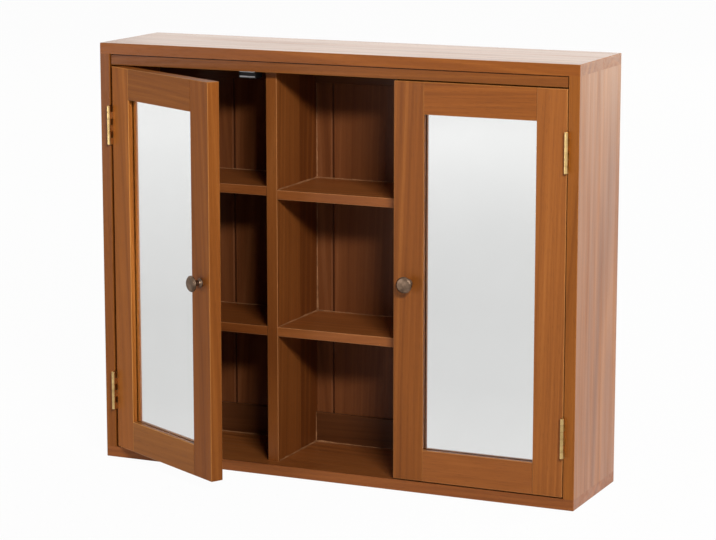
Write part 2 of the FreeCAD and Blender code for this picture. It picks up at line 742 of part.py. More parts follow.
def make_door(name, hand, dowel, dowel_hole, screw, screw_seat):
    """Make one framed mirror door."""
    place = pin_place(hand, f"{name}_door_open")
    dowels = door_dowel_spots(hand)
    screws = door_screw_spots(hand)
    seats = copies(f"{name}_door_seat", screw_seat, screws)
    keep(together(f"{name}_door_dowels", copies(f"{name}_door_dowel", dowel, dowels)), place)
    keep(together(f"{name}_door_screws", copies(f"{name}_door_screw", screw, screws)), place)
    holes = together(f"{name}_door_holes", copies(f"{name}_door_dowel_hole", dowel_hole, dowels) + seats)
    pocket = box(
        f"{name}_pane_pocket",
        span(hand, PANE_LOW, PANE_HIGH),
        (MIRROR_FACE, DOOR_BACK),
        (PANE_BOTTOM, PANE_TOP),
    )

    thick = (DOOR_FRONT, DOOR_BACK)
    whole = (DOOR_BOTTOM, DOOR_TOP)
    mortises = []
    for level, middle in HINGES.items():
        mortises.append(box(
            f"{name}_{level}_door_mortise",
            span(hand, DOOR_EDGE, f"{DOOR_EDGE} + leaf_thick + mortise_play"),
            (DOOR_FRONT, f"{DOOR_FRONT} + leaf_bite + mortise_play"),
            (f"{middle} - hinge_long / 2 - mortise_play", f"{middle} + hinge_long / 2 + mortise_play"),
        ))
    hinge_stile = plank(f"{name}_hinge_stile_blank", span(hand, DOOR_EDGE, STILE_IN), thick, whole, "xyz")
    keep(cut(f"{name}_hinge_stile", hinge_stile, holes, pocket, *mortises), place)
    knob_hole = make_knob(name, hand, place)
    lock_stile = plank(f"{name}_lock_stile_blank", span(hand, LOCK_IN, DOOR_FREE), thick, whole, "xyz")
    keep(cut(f"{name}_lock_stile", lock_stile, holes, pocket, knob_hole), place)
    for level, tall in {
        "top": (f"{DOOR_TOP} - door_rail_tall", DOOR_TOP),
        "bottom": (DOOR_BOTTOM, f"{DOOR_BOTTOM} + door_rail_tall"),
    }.items():
        rail = plank(f"{name}_door_{level}_rail_blank", span(hand, STILE_IN, LOCK_IN), thick, tall, "x")
        keep(cut(f"{name}_door_{level}_rail", rail, holes, pocket), place)

    pane_low = f"({PANE_LOW} + pane_play)"
    pane_high = f"({PANE_HIGH} - pane_play)"
    pane_tall = (f"({PANE_BOTTOM} + pane_play)", f"({PANE_TOP} - pane_play)")
    pane_wide = span(hand, pane_low, pane_high)
    mirror = plank(f"{name}_mirror_pane", pane_wide, (MIRROR_FACE, MIRROR_BACK), pane_tall)
    keep(together(f"{name}_mirror", [mirror]), place)
    backing = plank(f"{name}_backing_panel", pane_wide, (MIRROR_BACK, BACKING_BACK), pane_tall)
    keep(together(f"{name}_backing", [backing]), place)
    bead_deep = (BACKING_BACK, DOOR_BACK)
    across = span(hand, f"{pane_low} + bead_wide", f"{pane_high} - bead_wide")
    beads = [
        plank(f"{name}_hinge_bead", span(hand, pane_low, f"{pane_low} + bead_wide"), bead_deep, pane_tall),
        plank(f"{name}_lock_bead", span(hand, f"{pane_high} - bead_wide", pane_high), bead_deep, pane_tall),
        plank(f"{name}_top_bead", across, bead_deep, (f"{pane_tall[1]} - bead_wide", pane_tall[1])),
        plank(f"{name}_bottom_bead", across, bead_deep, (pane_tall[0], f"{pane_tall[0]} + bead_wide")),
    ]
    keep(together(f"{name}_mirror_beads", beads), place)

    for level, middle in HINGES.items():
        make_leaf(f"{name}_{level}_door_leaf", hand, 1, middle, 0, seats, place)
    strike = box(
        f"{name}_strike_blank",
        span(hand, f"{STRIKE_U} - catch_wide / 2", f"{STRIKE_U} + catch_wide / 2"),
        (DOOR_BACK, f"{DOOR_BACK} + strike_thick"),
        (f"{STRIKE_TOP} - strike_tall", STRIKE_TOP),
    )
    keep(cut(f"{name}_strike_plate", strike, *seats), place)


dowel, dowel_hole = dowel_shapes()
screw, screw_seat = screw_shapes()
carcass_holes = make_carcass(dowel, dowel_hole, screw, screw_seat)
make_back()
make_catches(carcass_holes)
make_hinge_frames(screw_seat)
for door_name, door_hand in HANDS.items():
    make_door(door_name, door_hand, dowel, dowel_hole, screw, screw_seat)
doc.recompute()

# test every object before anything is written
broken = [thing.Label for thing in doc.Objects if {"Invalid", "Error"} & set(thing.State)]
for label, piece in pieces.items():
    if piece.Shape.isNull() or not piece.Shape.isValid() or not piece.Shape.Solids:
        broken.append(label)
if broken:
    raise RuntimeError(f"these did not build: {', '.join(broken)}")

os.makedirs("parts", exist_ok=True)
for label, piece in pieces.items():
    piece.Shape.exportStep(f"parts/{label}.step")
solids = sum(len(piece.Shape.Solids) for piece in pieces.values())
print(f"{len(pieces)} pieces, {solids} solids")
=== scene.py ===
# %% [markdown]
# # A wall cabinet with mirror doors
# The cabinet's boards, doors, hinges and knobs are already modelled as exact solids. This lesson
# loads them as a fixed frame and gives them their looks: lacquered wood whose grain follows each
# board, silvered glass, brass, bronze, and a plain white studio round it.

# %% Load the solids as a fixed frame
import json
import math
import random

import bmesh
import bpy
from mathutils import Matrix, Vector


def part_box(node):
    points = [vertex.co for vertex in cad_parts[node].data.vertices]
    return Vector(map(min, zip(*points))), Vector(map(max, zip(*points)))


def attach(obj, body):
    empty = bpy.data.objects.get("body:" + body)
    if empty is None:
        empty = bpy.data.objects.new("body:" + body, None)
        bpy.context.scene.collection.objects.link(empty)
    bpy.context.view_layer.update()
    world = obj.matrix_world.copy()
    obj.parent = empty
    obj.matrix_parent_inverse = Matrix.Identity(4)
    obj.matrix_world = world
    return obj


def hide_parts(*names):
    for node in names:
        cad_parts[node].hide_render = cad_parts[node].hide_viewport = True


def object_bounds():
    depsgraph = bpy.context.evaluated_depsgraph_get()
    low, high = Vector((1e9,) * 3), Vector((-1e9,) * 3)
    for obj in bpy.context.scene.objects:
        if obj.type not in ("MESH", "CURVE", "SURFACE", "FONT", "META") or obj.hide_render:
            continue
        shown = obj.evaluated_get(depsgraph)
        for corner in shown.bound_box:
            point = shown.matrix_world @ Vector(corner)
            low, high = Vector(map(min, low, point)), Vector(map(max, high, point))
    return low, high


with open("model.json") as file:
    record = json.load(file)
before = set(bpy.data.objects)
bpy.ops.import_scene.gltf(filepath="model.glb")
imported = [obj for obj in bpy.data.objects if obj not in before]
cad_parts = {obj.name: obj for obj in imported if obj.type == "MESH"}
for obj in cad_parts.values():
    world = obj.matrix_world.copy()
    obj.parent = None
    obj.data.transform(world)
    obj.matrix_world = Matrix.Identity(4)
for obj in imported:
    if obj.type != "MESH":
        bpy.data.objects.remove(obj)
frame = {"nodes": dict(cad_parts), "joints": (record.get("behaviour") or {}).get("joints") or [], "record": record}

MM = 0.001
nodes = frame["nodes"]
cad_box = [list(corner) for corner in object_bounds()]
print(len(nodes), "solids, box", [[round(v, 4) for v in corner] for corner in cad_box])

# %% [markdown]
# The left door stands open and the right one is shut. Whatever is added to a door, and the grain of
# its rails, has to follow the door's own directions. The angle could be written down a second time,
# but then the two might differ, so it is read off the joints: the pin's place is in the joint, and
# the rest angle is how far the joint can still close.

# %% Read the two doors' places
doors = {}
for joint in frame["joints"]:
    hand = joint["child"].split("_")[0]
    way = 1 if hand == "left" else -1
    opening = -joint["range_deg"][0]
    turn = Matrix.Rotation(math.radians(-way * opening), 4, "Z")
    place = Matrix.Translation(Vector(joint["pos_m"])) @ turn
    doors[hand] = {"opening": opening, "place": place}
    print(hand, "door stands open by", opening, "degrees")

# %% [markdown]
# The photograph looks at the cabinet from the right and a little above, through a long lens, so
# the sides hardly converge. A camera could be moved by eye until it looks right. Here its place was
# fitted to the corners of the box, because that also gives the box's proportions. A lens of 131 mm
# on the usual 36 mm sensor gives the same flat perspective.

# %% Camera at the photograph's angle
CAMERA_PLACE = (1.3442, -3.0458, 0.3613)
CAMERA_LENS, CAMERA_SENSOR = 130.8, 36.0
LOOKS_DOWN, LOOKS_LEFT = 10.62, 24.3

camera_data = bpy.data.cameras.new("photo_camera")
camera_data.sensor_width = CAMERA_SENSOR
camera_data.lens = CAMERA_LENS
camera = bpy.data.objects.new("photo_camera", camera_data)
camera.location = CAMERA_PLACE
camera.rotation_euler = (math.radians(90.0 - LOOKS_DOWN), 0.0, math.radians(LOOKS_LEFT))
bpy.context.scene.collection.objects.link(camera)
bpy.context.scene.camera = camera
bpy.context.scene.view_settings.view_transform = "Standard"
print("camera", [round(v, 3) for v in camera.location], "lens", round(camera_data.lens, 1))

# %% [markdown]
# Materials are built from nodes. Written out in full, a wood takes a hundred lines of adding and
# linking. A few small helpers keep that readable: they add a node and set its options and sockets
# by name, join sockets, start an empty material, do sums, blend colours, and add ramps and ranges.

# %% Node helpers
def add_node(tree, kind, sockets=None, **options):
    """Add a node; options are its settings, sockets its unlinked inputs by name or number."""
    made = tree.nodes.new(kind)
    for name, value in options.items():
        setattr(made, name, value)
    for name, value in (sockets or {}).items():
        made.inputs[name].default_value = value
    return made


def wire(tree, *pairs):
    """Join output sockets to input sockets, given as (output, input) pairs."""
    for source, target in pairs:
        tree.links.new(source, target)


def new_material(name):
    """Make a material and give back its tree and its surface shader."""
    made = bpy.data.materials.new(name)
    made.use_nodes = True
    tree = made.node_tree
    return made, tree, tree.nodes["Principled BSDF"]


def arithmetic(tree, operation, first, second):
    """Add a maths node; each of the two inputs is a socket or a plain number."""
    made = add_node(tree, "ShaderNodeMath", operation=operation)
    for number, value in enumerate((first, second)):
        if isinstance(value, bpy.types.NodeSocket):
            tree.links.new(value, made.inputs[number])
        else:
            made.inputs[number].default_value = value
    return made.outputs[0]


print("helpers for nodes and sums ready")

# %% Ramps and ranges
def colour_ramp(tree, factor, stops):
    """Add a colour ramp with (place, colour) stops and give back its colour."""
    ramp = add_node(tree, "ShaderNodeValToRGB")
    elements = ramp.color_ramp.elements
    while len(elements) < len(stops):
        elements.new(0.5)
    for element, (place, colour) in zip(elements, stops):
        element.position = place
        element.color = (*colour, 1.0)
    tree.links.new(factor, ramp.inputs["Fac"])
    return ramp.outputs["Color"]


def to_range(tree, value, low=0.0, high=1.0, start=0.0, end=1.0):
    """Carry a value from the range low to high over to the range start to end."""
    sockets = {"From Min": low, "From Max": high, "To Min": start, "To Max": end}
    made = add_node(tree, "ShaderNodeMapRange", sockets)
    tree.links.new(value, made.inputs["Value"])
    return made.outputs["Result"]


def blend(tree, factor, base, colour):
    """Lay a plain colour over a base by a factor."""
    made = add_node(tree, "ShaderNodeMix", {"B": (*colour, 1.0)}, data_type="RGBA")
    wire(tree, (factor, made.inputs["Factor"]), (base, made.inputs["A"]))
    return made.outputs["Result"]


print("helpers for ramps and ranges ready")

# %% [markdown]
# The wood is the main thing to get right. A picture of wood would smear over edges and end grain,
# so the grain is a solid figure that each board is cut from. Every board has its own pith, shift,
# tone and shade, kept as properties on its object, which the material reads. The shade is partly
# stain and partly painted light and shade. So two boards never show the same figure, though they
# share a material. A wide panel is glued up from two strips, and its figure and tone change at the
# glue line.

# %% Where a point lies in its board
BOARD_SHIFT = (7.3, 3.1, 5.7)


def board_value(tree, name):
    """Read one of the values that a board's object carries."""
    return add_node(tree, "ShaderNodeAttribute", attribute_type="OBJECT", attribute_name=name)


def split(tree, vector):
    """Split a vector into its X, Y and Z."""
    made = add_node(tree, "ShaderNodeSeparateXYZ")
    tree.links.new(vector, made.inputs["Vector"])
    return made.outputs


def board_place(tree, rotation):
    """Give the places and values, by name, that a board's figure is drawn from."""
    coordinates = add_node(tree, "ShaderNodeTexCoord")
    turned = add_node(tree, "ShaderNodeMapping", {"Rotation": rotation})
    tree.links.new(coordinates.outputs["Object"], turned.inputs["Vector"])
    depth = split(tree, coordinates.outputs["Object"])["Y"]
    glue = split(tree, board_value(tree, "board_strip").outputs["Vector"])

    # behind the glue line, the second strip has its own shift and tone
    second = arithmetic(tree, "GREATER_THAN", depth, glue["X"])
    second_tone = arithmetic(tree, "MULTIPLY", second, glue["Y"])
    seed = arithmetic(tree, "ADD", board_value(tree, "board_seed").outputs["Fac"], second)
    shifted = add_node(tree, "ShaderNodeVectorMath", {1: BOARD_SHIFT}, operation="MULTIPLY_ADD")
    wire(tree, (seed, shifted.inputs[0]), (turned.outputs["Vector"], shifted.inputs[2]))
    tone = arithmetic(tree, "ADD", board_value(tree, "board_tone").outputs["Fac"], second_tone)
    return {
        "turned": turned.outputs["Vector"],
        "grain": shifted.outputs["Vector"],
        "tone": tone,
        "depth": depth,
        "joint": glue["Z"],
        "normal": coordinates.outputs["Normal"],
    }


print("a board's point is read from its seed, tone and glue line")

# %% [markdown]
# Growth rings lie round a pith line beside the board. A wave texture would draw them too evenly, so
# the distance from the pith is bent a little, drifts along the board, and goes through a noise of
# one dimension: that gives wide soft bands. Stretched noise gives the fibres and the wide patches,
# and a finer one the short dark pores.

# %% Growth rings
BEND_GRAIN = (1.8, 11.0, 11.0)
RING_BEND = (0.0, 0.016, 0.016)
RING_DRIFT = 0.035
RINGS_PER_METRE = 130.0


def stretched_noise(tree, vector, stretch, detail, roughness=0.55):
    """Give a noise whose grains are long along the first axis."""
    sized = add_node(tree, "ShaderNodeVectorMath", {1: stretch}, operation="MULTIPLY")
    sockets = {"Scale": 1.0, "Detail": detail, "Roughness": roughness}
    noise = add_node(tree, "ShaderNodeTexNoise", sockets)
    wire(tree, (vector, sized.inputs[0]), (sized.outputs["Vector"], noise.inputs["Vector"]))
    return noise.outputs


def growth_rings(tree, place):
    """Give the ring figure from the distance to the board's pith."""
    bend = stretched_noise(tree, place["grain"], BEND_GRAIN, 2.0)["Color"]
    bent = add_node(tree, "ShaderNodeVectorMath", {1: RING_BEND}, operation="MULTIPLY_ADD")
    from_pith = add_node(tree, "ShaderNodeVectorMath", operation="SUBTRACT")
    wire(
        tree,
        (place["turned"], from_pith.inputs[0]),
        (board_value(tree, "board_pith").outputs["Vector"], from_pith.inputs[1]),
        (bend, bent.inputs[0]),
        (from_pith.outputs["Vector"], bent.inputs[2]),
    )
    parts = split(tree, bent.outputs["Vector"])
    across = arithmetic(tree, "POWER", parts["Y"], 2.0)
    through = arithmetic(tree, "POWER", parts["Z"], 2.0)
    radius = arithmetic(tree, "SQRT", arithmetic(tree, "ADD", across, through), 0.0)
    drift = arithmetic(tree, "MULTIPLY", parts["X"], RING_DRIFT)
    ring_place = arithmetic(tree, "ADD", radius, drift)
    sockets = {"Scale": 1.0, "Detail": 2.5}
    rings = add_node(tree, "ShaderNodeTexNoise", sockets, noise_dimensions="1D")
    tree.links.new(arithmetic(tree, "MULTIPLY", ring_place, RINGS_PER_METRE), rings.inputs["W"])
    return rings.outputs["Fac"]


print("growth rings:", RINGS_PER_METRE, "to the metre, drifting by", RING_DRIFT)

# %% Fibres, patches and pores
TEAK_STOPS = (
    (0.22, (0.175, 0.050, 0.0095)),
    (0.42, (0.255, 0.079, 0.0150)),
    (0.58, (0.305, 0.098, 0.0190)),
    (0.80, (0.395, 0.140, 0.0310)),
)
FIBRE_GRAIN, PATCH_GRAIN = (7.0, 480.0, 480.0), (2.2, 26.0, 26.0)
PORE_GRAIN, PORE_RANGE = (75.0, 2300.0, 2300.0), (0.60, 0.72)
RING_SHARE, FIBRE_SHARE, PATCH_SHARE = 0.56, 0.34, 0.42


def wood_figure(tree, place):
    """Give the bare wood's colour, its fibres and its pores."""
    grain = place["grain"]
    fibres = stretched_noise(tree, grain, FIBRE_GRAIN, 3.0, 0.6)["Fac"]
    patches = stretched_noise(tree, grain, PATCH_GRAIN, 3.0)["Fac"]
    pores = stretched_noise(tree, grain, PORE_GRAIN, 1.0)["Fac"]
    figure = arithmetic(tree, "MULTIPLY", growth_rings(tree, place), RING_SHARE)
    figure = arithmetic(tree, "ADD", figure, arithmetic(tree, "MULTIPLY", fibres, FIBRE_SHARE))
    figure = arithmetic(tree, "ADD", figure, arithmetic(tree, "MULTIPLY", patches, PATCH_SHARE))
    figure = arithmetic(tree, "ADD", figure, place["tone"])
    return {
        "colour": colour_ramp(tree, figure, TEAK_STOPS),
        "fibres": fibres,
        "pores": to_range(tree, pores, *PORE_RANGE),
    }


print("wood figure in", len(TEAK_STOPS), "tones, fibres", FIBRE_GRAIN, "to the metre")

# %% [markdown]
# A joiner rubs the edges, stains the wood and then lacquers it. Rounded edges are painted lighter,
# partly as rubbed wear and partly as a painted highlight where they catch the light. End grain and
# pores drink more stain, and the bottoms of open joints are painted dark as shade. All that could be
# painted on by hand, but a face's direction in its board already tells an edge from a flat face, and
# end grain from long grain, so the material works it out and fits any board.

# %% Rubbed and highlighted edges, stain and joint shade
# the rounded edges' colour: rubbed wear and painted highlight
WORN_AND_HIGHLIT_EDGE = (0.56, 0.26, 0.085)
DARK_STAIN_AND_SHADE = (0.060, 0.017, 0.005)
FLAT, ROUNDED = 0.995, 0.90
LONG_GRAIN, END_GRAIN = 0.75, 0.95
# the pores' darkness is stain; the joints' darkness is painted shade
PORE_STAIN, JOINT_PAINTED_SHADE = 0.30, 0.90
JOINT_DEPTH = 0.5 * MM


def face_directions(tree, rotation, normal):
    """Give how far a face is turned to the grain, across it and through the board."""
    facing = add_node(tree, "ShaderNodeMapping", {"Rotation": rotation}, vector_type="NORMAL")
    upright = add_node(tree, "ShaderNodeVectorMath", operation="ABSOLUTE")
    wire(tree, (normal, facing.inputs["Vector"]), (facing.outputs["Vector"], upright.inputs[0]))
    return split(tree, upright.outputs["Vector"])


def lighten_worn_and_highlit_edges(tree, colour, faces, edge_wear_and_highlight):
    """Lighten the rounded edges, as rubbed wear and a painted highlight: only they have no large part in their
    direction.
    """
    squareness = arithmetic(tree, "MAXIMUM", faces["X"], faces["Y"])
    squareness = arithmetic(tree, "MAXIMUM", squareness, faces["Z"])
    wear_and_highlight_mask = to_range(tree, squareness, FLAT, ROUNDED, end=edge_wear_and_highlight)
    return blend(tree, wear_and_highlight_mask, colour, WORN_AND_HIGHLIT_EDGE)


def stain_and_shade_wood(tree, colour, pores, faces, place, ends):
    """Apply the board's stain and painted shade, stain its end grain and pores darker, and paint its open joints
    dark as shade.
    """
    # the board's shade: partly stain, partly painted light and shade
    stained_and_shaded = add_node(tree, "ShaderNodeVectorMath", operation="MULTIPLY")
    shade = board_value(tree, "board_shade").outputs["Vector"]
    wire(tree, (colour, stained_and_shaded.inputs[0]), (shade, stained_and_shaded.inputs[1]))
    end_grain = to_range(tree, faces["X"], LONG_GRAIN, END_GRAIN, end=ends)
    stain_and_joint_shade = arithmetic(tree, "MAXIMUM", arithmetic(tree, "MULTIPLY", pores, PORE_STAIN), end_grain)
    # the floor of an open joint is painted dark as shade
    in_joint = add_node(tree, "ShaderNodeMath", {2: JOINT_DEPTH}, operation="COMPARE")
    wire(tree, (place["depth"], in_joint.inputs[0]), (place["joint"], in_joint.inputs[1]))
    joint_painted_shade = arithmetic(tree, "MULTIPLY", in_joint.outputs[0], JOINT_PAINTED_SHADE)
    stain_and_joint_shade = arithmetic(tree, "MAXIMUM", stain_and_joint_shade, joint_painted_shade)
    return blend(tree, stain_and_joint_shade, stained_and_shaded.outputs["Vector"], DARK_STAIN_AND_SHADE)


# the edges are lightened as wear and painted highlight; the dark colour is stain and painted joint shade
print("edges rubbed to", WORN_AND_HIGHLIT_EDGE, "and ends stained to", DARK_STAIN_AND_SHADE)

# %% [markdown]
# Satin lacquer lets the fibres show in its gloss and the pores as fine dents. The wide outer faces
# have a second coat that shines when one looks along it. It has sunk in along the open grain, which
# leaves streaks in the shine. One even gloss would look like plastic, so both coats take theirs
# from the grain.

# %% Two coats of lacquer
SATIN, FLATTEST = 0.29, 0.43
FIBRE_RELIEF = 0.5
DENT_STRENGTH, DENT_DEPTH = 0.35, 0.12 * MM
SANDED, COATED = 0.90, 0.99
STREAK_GRAIN, STREAK_RANGE, STREAK_WEIGHT = (3.5, 75.0, 75.0), (0.36, 0.60), (0.55, 1.08)


def bumped(tree, surface, height, strength, distance):
    """Raise a surface by a height."""
    bump = add_node(tree, "ShaderNodeBump", {"Strength": strength, "Distance": distance})
    wire(tree, (height, bump.inputs["Height"]), (bump.outputs["Normal"], surface.inputs["Normal"]))


def first_coat(tree, surface, figure, lacquer):
    """Lacquer the wood: fibres show in the gloss, pores as dents."""
    gloss = to_range(tree, figure["fibres"], start=SATIN, end=FLATTEST)
    relief = arithmetic(tree, "MULTIPLY", figure["fibres"], FIBRE_RELIEF)
    relief = arithmetic(tree, "SUBTRACT", relief, figure["pores"])
    tree.links.new(gloss, surface.inputs["Roughness"])
    bumped(tree, surface, relief, DENT_STRENGTH, DENT_DEPTH)
    surface.inputs["IOR"].default_value = lacquer


def second_coat(tree, surface, faces, grain, coat, haze):
    """Coat the wide outer faces once more; front and rounded edges are sanded back."""
    wide_face = arithmetic(tree, "MAXIMUM", faces["X"], faces["Z"])
    coated = to_range(tree, wide_face, SANDED, COATED, end=coat)
    streaks = stretched_noise(tree, grain, STREAK_GRAIN, 3.0, 0.6)["Fac"]
    sunk = to_range(tree, streaks, *STREAK_RANGE, *STREAK_WEIGHT)
    tree.links.new(arithmetic(tree, "MULTIPLY", coated, sunk), surface.inputs["Coat Weight"])
    surface.inputs["Coat Roughness"].default_value = haze


print("lacquer from", SATIN, "to", FLATTEST, "rough, dents", round(DENT_DEPTH / MM, 2), "mm deep")

# %% [markdown]
# The same wood is finished in a few ways. The left door is rubbed flatter, the wide outer boards
# are coated twice, and the edges inside are left as they were cut. Each finish comes with upright
# and with level grain. The open door's grain turns with the door, so it has a pair of its own.
# Copies of one material would have to be changed one by one, so a function makes each from its few
# numbers.

# %% A whole wood
def wood_material(name, rotation, lacquer, edge_wear_and_highlight, ends, coat, haze):
    """Make lacquered wood; the rotation turns the grain's direction onto the x axis."""
    made, tree, surface = new_material(name)
    place = board_place(tree, rotation)
    figure = wood_figure(tree, place)
    faces = face_directions(tree, rotation, place["normal"])
    colour = lighten_worn_and_highlit_edges(tree, figure["colour"], faces, edge_wear_and_highlight)
    colour = stain_and_shade_wood(tree, colour, figure["pores"], faces, place, ends)
    tree.links.new(colour, surface.inputs["Base Color"])
    first_coat(tree, surface, figure, lacquer)
    if coat:
        second_coat(tree, surface, faces, place["grain"], coat, haze)
    return made


GRAIN_TURN = {}


def wood_pair(name, door_turn, upright, level):
    """Make one part's upright and level wood from their finishes, and note their grain's turn."""
    level_turn = Matrix.Rotation(door_turn, 3, "Z")
    upright_turn = Matrix.Rotation(math.pi / 2, 3, "Y") @ level_turn
    pair = {}
    for way, turn, finish in (("upright", upright_turn, upright), ("level", level_turn, level)):
        pair[way] = wood_material(f"{name}_{way}_teak", turn.to_euler("XYZ"), **finish)
        GRAIN_TURN[pair[way].name] = turn
    return pair


print("a wood is made from its grain's turn and its finish")

# %% The finishes
# the lacquer's index, how light the edges are painted as wear and highlight, how dark the ends are, the second
# coat and its haze
ONE_COAT = {"lacquer": 1.26, "edge_wear_and_highlight": 0.55, "ends": 0.22, "coat": 0.0, "haze": 0.0}
DOOR_COAT = {**ONE_COAT, "lacquer": 1.20}
INSIDE_COAT = {**ONE_COAT, "edge_wear_and_highlight": 0.12}
SIDE_COATS = {"lacquer": 1.26, "edge_wear_and_highlight": 0.22, "ends": 0.08, "coat": 0.85, "haze": 0.34}
TOP_COATS = {**SIDE_COATS, "coat": 0.55, "haze": 0.30}
open_turn = math.radians(doors["left"]["opening"])
WOODS = {
    "left_door": wood_pair("left_door", open_turn, DOOR_COAT, DOOR_COAT),
    "outside": wood_pair("outside", 0.0, SIDE_COATS, TOP_COATS),
    "front": wood_pair("front", 0.0, ONE_COAT, ONE_COAT),
    "inside": wood_pair("inside", 0.0, INSIDE_COAT, INSIDE_COAT),
}
print("woods:", sorted(GRAIN_TURN))

# %% [markdown]
# A joiner runs the grain along the length of a piece: up the sides, dividers, back boards and door
# stiles, and along the top, bottom, shelves and rails. The right wood could be listed board by
# board. The boards' names already say what they are, so words in the names choose it.

# %% Choose each board's wood
UPRIGHT_WORDS = ("side", "divider", "back_board", "stile", "beads")
OUTSIDE = ("left_side", "right_side", "top_board", "bottom_board")
INSIDE_WORDS = ("back_board", "rear_rail", "hanging_rail")
bodies = frame["record"]["behaviour"]["bodies"]
body_of = {node: body for body, held in bodies.items() for node in held}
slot_of = {part["node"]: part["material_slot"] for part in frame["record"]["subparts"]}
boards = sorted(node for node, slot in slot_of.items() if slot == "teak")


def board_wood(node):
    """Pick the wood whose grain runs along a board."""
    way = "upright" if any(word in node for word in UPRIGHT_WORDS) else "level"
    if body_of[node] == "left_door":
        return WOODS["left_door"][way]
    if any(word in node for word in INSIDE_WORDS):
        return WOODS["inside"][way]
    return WOODS["outside" if node in OUTSIDE else "front"][way]


print(len(boards), "boards, upright:", sum("upright" in board_wood(node).name for node in boards))

# %% [markdown]
# No two boards take the stain alike, so each has its own shade. The shades are partly stain and
# partly painted light and shade: the inside is painted darker than the front, as shade, most of all
# the left bay's shelves and the rear and hanging rails. The top rail under the top board is painted
# darker as well, and the open door's hinge stile and bottom rail are painted lighter. The dividers,
# sides and top are glued up from two strips. A material for each board could hold such values, but
# they are easier to compare in one table. The first word of the table that is in a board's name
# gives its shade, and the same goes for its glue line.

# %% Shades, partly stain and partly painted shade, and glue lines
# partly stain; darker inside and on the rails as painted shade, lighter on the left hinge stile and left bottom
# rail as painted light
STAINS_AND_PAINTED_SHADE = {
    "left_hinge_stile": (1.36, 1.32, 1.12),
    "left_lock_stile": (0.91, 0.84, 0.72),
    "left_door_top_rail": (0.97, 0.94, 0.82),
    "left_door_bottom_rail": (1.20, 1.30, 1.30),
    "right_hinge_stile": (1.05, 1.03, 1.00),
    "right_lock_stile": (0.79, 0.73, 0.62),
    "right_door_top_rail": (0.92, 0.85, 0.70),
    "right_door_bottom_rail": (0.96, 0.93, 0.98),
    "top_rail": (0.68, 0.62, 0.49),
    "top_board": (0.83, 0.73, 0.52),
    "left_side": (0.80, 0.73, 0.54),
    "right_side": (0.93, 0.88, 0.60),
    "back_board": (0.54, 0.53, 0.84),
    "divider": (0.74, 0.69, 0.74),
    "left_upper_shelf": (0.74, 0.68, 0.85),
    "left_lower_shelf": (0.66, 0.58, 0.65),
    "shelf": (0.90, 0.86, 1.05),
    "bottom_board": (0.98, 0.95, 1.15),
    "rear": (0.32, 0.32, 0.50),
    "hanging": (0.40, 0.40, 0.58),
}
PLAIN_SHADE = (1.0, 1.0, 1.0)
NOWHERE = 1.0
WHOLE = (NOWHERE, 0.0, NOWHERE)

# where the second strip starts, how much lighter it is, and where the open joint ends, whose floor is painted dark
# as shade
GLUE_LINES = {
    "divider": (-0.065, -0.26, NOWHERE),
    "side": (-0.058, 0.05, NOWHERE),
    "top_board": (-0.070, 0.06, NOWHERE),
    "back_board": (NOWHERE, 0.0, -0.0117),
}


def by_word(node, table, otherwise):
    """Give the first entry of a table whose word is in a board's name."""
    return next((entry for word, entry in table.items() if word in node), otherwise)


print(len(STAINS_AND_PAINTED_SHADE), "shades,", len(GLUE_LINES), "glue lines")

# %% [markdown]
# Now the boards are dressed. The figure of a board depends on where in the tree it was sawn, so a
# draw places the pith line near each board. The draw starts from a fixed seed, so that it gives the
# same boards each time.

# %% Put the grain on the boards
PITH_NEAR, PITH_FAR = 0.05, 0.16
SEEDS = 3.0
TONE_SPREAD, TONE_LEVEL = 0.035, 0.16
draw = random.Random(12)


def dress(node, material):
    """Give a solid its material."""
    slots = nodes[node].data.materials
    slots.clear()
    slots.append(material)


def give_figure(piece, middle, material, shade, strip):
    """Set the pith, shift and tone that a board's figure is made from."""
    centre = GRAIN_TURN[material.name] @ middle
    angle = draw.uniform(0.0, math.tau)
    reach = draw.uniform(PITH_NEAR, PITH_FAR)
    across, through = reach * math.cos(angle), reach * math.sin(angle)
    piece["board_pith"] = (centre.x, centre.y + across, centre.z + through)
    piece["board_seed"] = draw.uniform(0.0, SEEDS)
    piece["board_tone"] = draw.uniform(-TONE_SPREAD, TONE_SPREAD) - TONE_LEVEL
    # the board's stain, with painted shade on the inside boards and painted light on two boards of the open door
    piece["board_shade"] = shade
    piece["board_strip"] = strip


for node in boards:
    low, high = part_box(node)
    material = board_wood(node)
    shade, strip = by_word(node, STAINS_AND_PAINTED_SHADE, PLAIN_SHADE), by_word(node, GLUE_LINES, WHOLE)
    dress(node, material)
    give_figure(nodes[node], (low + high) / 2, material, shade, strip)
print(len(boards), "boards dressed")

# %% [markdown]
# The metal parts are small but catch the eye. Brass keeps a warm polish with faint handling marks,
# the knobs are dark antique bronze with lighter worn clouds, and the catch has plain zinc steel
# plates. One flat colour would look like paint, so colour and roughness both come from a noise.

# %% Clouded surfaces
def clouded(tree, surface, scale, detail, roughness, stops, rough):
    """Cloud a surface's colour between two stops, and its roughness between two values."""
    coordinates = add_node(tree, "ShaderNodeTexCoord").outputs["Object"]
    sockets = {"Scale": scale, "Detail": detail, "Roughness": roughness}
    clouds = add_node(tree, "ShaderNodeTexNoise", sockets)
    tree.links.new(coordinates, clouds.inputs["Vector"])
    spread = to_range(tree, clouds.outputs["Fac"], start=rough[0], end=rough[1])
    wire(
        tree,
        (colour_ramp(tree, clouds.outputs["Fac"], stops), surface.inputs["Base Color"]),
        (spread, surface.inputs["Roughness"]),
    )
    return coordinates, clouds.outputs["Fac"]


print("clouds for colour and roughness ready")

# %% Metals
GRIT_STRENGTH, GRIT_FINER = 0.15, 9.0


